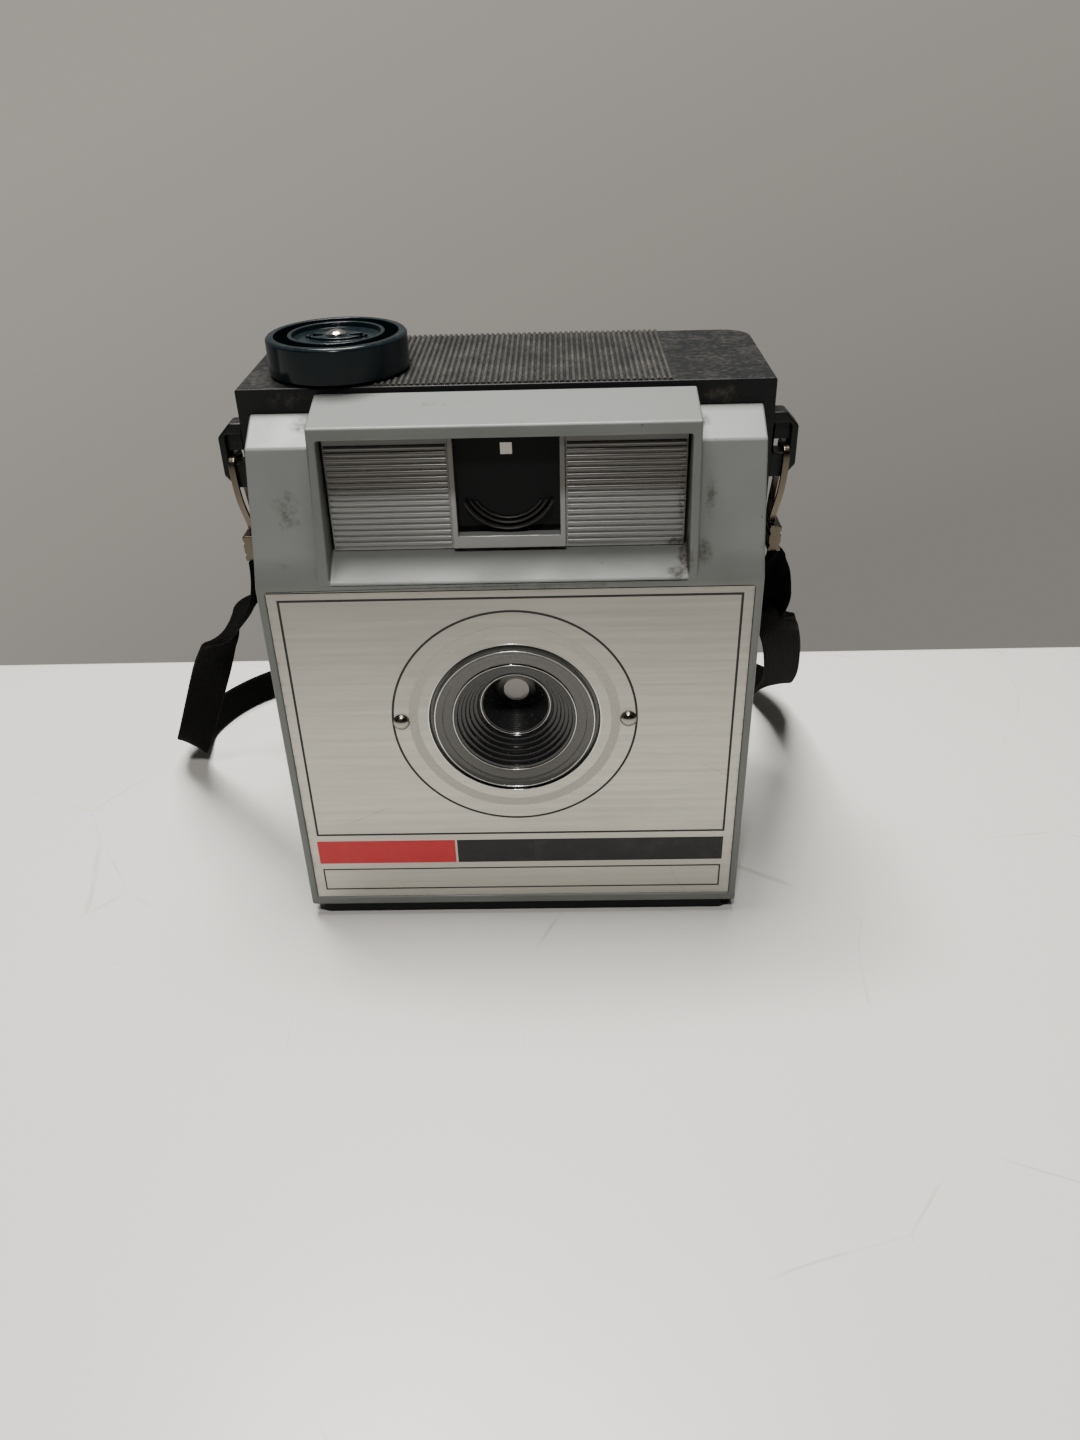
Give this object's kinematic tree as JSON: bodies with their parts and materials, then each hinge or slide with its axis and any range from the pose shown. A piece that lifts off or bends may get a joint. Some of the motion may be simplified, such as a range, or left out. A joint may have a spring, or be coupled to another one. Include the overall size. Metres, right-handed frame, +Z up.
{
  "type": "box camera",
  "caption": "Roll-film box camera with a fixed lens behind a stepped funnel, eye-level finder under a hood, flash-cube winding knob and a carrying strap.",
  "frame": {"origin": "on the table, under the middle of the camera, on its flat base", "axes": "+X to the right of someone facing the lens, -Y the way the lens looks, +Z up"},
  "size_m": [0.1491, 0.1049, 0.1104],
  "materials": {
    "dark_plastic": "satin moulded",
    "light_plastic": "satin moulded, grimy",
    "panel_plastic": "fine moulded ribs",
    "brushed_plate": "brushed, scratched, printed lines",
    "clear_plastic": "clear",
    "glass": "polished",
    "funnel_plastic": "turned steps",
    "black_plastic": "glossy",
    "polished_steel": "polished",
    "warm_steel": "worn nickel",
    "spring_steel": "spring",
    "brass": "turned",
    "blade_grey": "matt grey",
    "inner_black": "matt",
    "red_filter": "clear red",
    "cell_wrap": "plain wrapped can",
    "strap_webbing": "woven ribbon"
  },
  "bodies": {
    "camera": {"main_body": "dark_plastic", "strap_lug_left": "dark_plastic", "strap_lug_right": "dark_plastic", "front_cover": "light_plastic", "face_plate": "brushed_plate", "plate_rivets": "polished_steel", "lens_guard": "clear_plastic", "lens_funnel": "funnel_plastic", "lens_mount": "inner_black", "taking_lens": "glass", "lens_retainer": "spring_steel", "diaphragm": "inner_black", "shutter_plate": "spring_steel", "shutter_pivots": "polished_steel", "shutter_spring": "spring_steel", "body_screws": "warm_steel", "finder_panel": "panel_plastic", "finder_front_lens": "glass", "finder_tube": "inner_black", "finder_eye_lens": "glass", "finder_eyepiece": "inner_black", "knob_bushing": "brass", "wrap_spring": "spring_steel", "spring_post": "dark_plastic", "spool_studs": "warm_steel", "supply_spring": "spring_steel", "light_box": "inner_black", "battery_cells": "cell_wrap", "battery_contacts": "brass", "battery_rack": "inner_black", "flash_contacts": "brass", "sync_contact": "brass", "strap_left": "strap_webbing", "strap_right": "strap_webbing"},
    "winder": {"wind_knob": "black_plastic", "knob_pin": "polished_steel", "wind_key": "warm_steel", "key_circlip": "spring_steel"},
    "spool": {"takeup_spool": "black_plastic"},
    "blade": {"shutter_blade": "blade_grey"},
    "lever": {"release_lever": "warm_steel"},
    "back": {"rear_cover": "dark_plastic", "red_window": "red_filter", "pressure_plate": "inner_black", "pressure_springs": "spring_steel"},
    "latch": {"rear_latch": "warm_steel", "latch_arm": "spring_steel"},
    "door": {"battery_door": "dark_plastic", "contact_bridge": "brass"},
    "clip_l": {"clip_left": "warm_steel", "ferrule_left": "warm_steel"},
    "clip_r": {"clip_right": "warm_steel", "ferrule_right": "warm_steel"}
  },
  "joints": [
    {"name": "knob_spin", "type": "hinge", "parent": "camera", "child": "winder", "pos_m": [-0.029, -0.00545, 0.105], "axis": [0, 0, 1], "continuous": true},
    {"name": "spool_spin", "type": "hinge", "parent": "camera", "child": "spool", "pos_m": [-0.029, -0.00545, 0.04675], "axis": [0, 0, 1], "continuous": true},
    {"name": "release_press", "type": "hinge", "parent": "camera", "child": "lever", "pos_m": [-0.013, -0.0204, 0.05275], "axis": [0, -1, 0], "range_deg": [0, 12], "stiffness_Nm_per_rad": 0.02, "springref_deg": -5.73},
    {"name": "blade_swing", "type": "hinge", "parent": "camera", "child": "blade", "pos_m": [0, -0.0196, 0.05775], "axis": [0, -1, 0], "range_deg": [0, 45]},
    {"name": "back_off", "type": "slide", "parent": "camera", "child": "back", "axis": [0, 1, 0], "range_m": [0, 0.03]},
    {"name": "latch_turn", "type": "hinge", "parent": "camera", "child": "latch", "pos_m": [0, 0.0106, 0.002], "axis": [0, 0, 1], "range_deg": [0, 90]},
    {"name": "door_slide", "type": "slide", "parent": "camera", "child": "door", "axis": [1, 0, 0], "range_m": [0, 0.012]},
    {"name": "clip_left_swing", "type": "hinge", "parent": "camera", "child": "clip_l", "pos_m": [-0.047, -0.01375, 0.0917], "axis": [0, 1, 0], "range_deg": [0, 25], "deforming": ["strap_left"]},
    {"name": "clip_right_swing", "type": "hinge", "parent": "camera", "child": "clip_r", "pos_m": [0.047, -0.01375, 0.0917], "axis": [0, -1, 0], "range_deg": [0, 25], "deforming": ["strap_right"]}
  ],
  "couplings": [
    {"joint": "spool_spin", "follows": "knob_spin", "ratio": 1},
    {"joint": "blade_swing", "follows": "release_press", "ratio": 3.75}
  ]
}
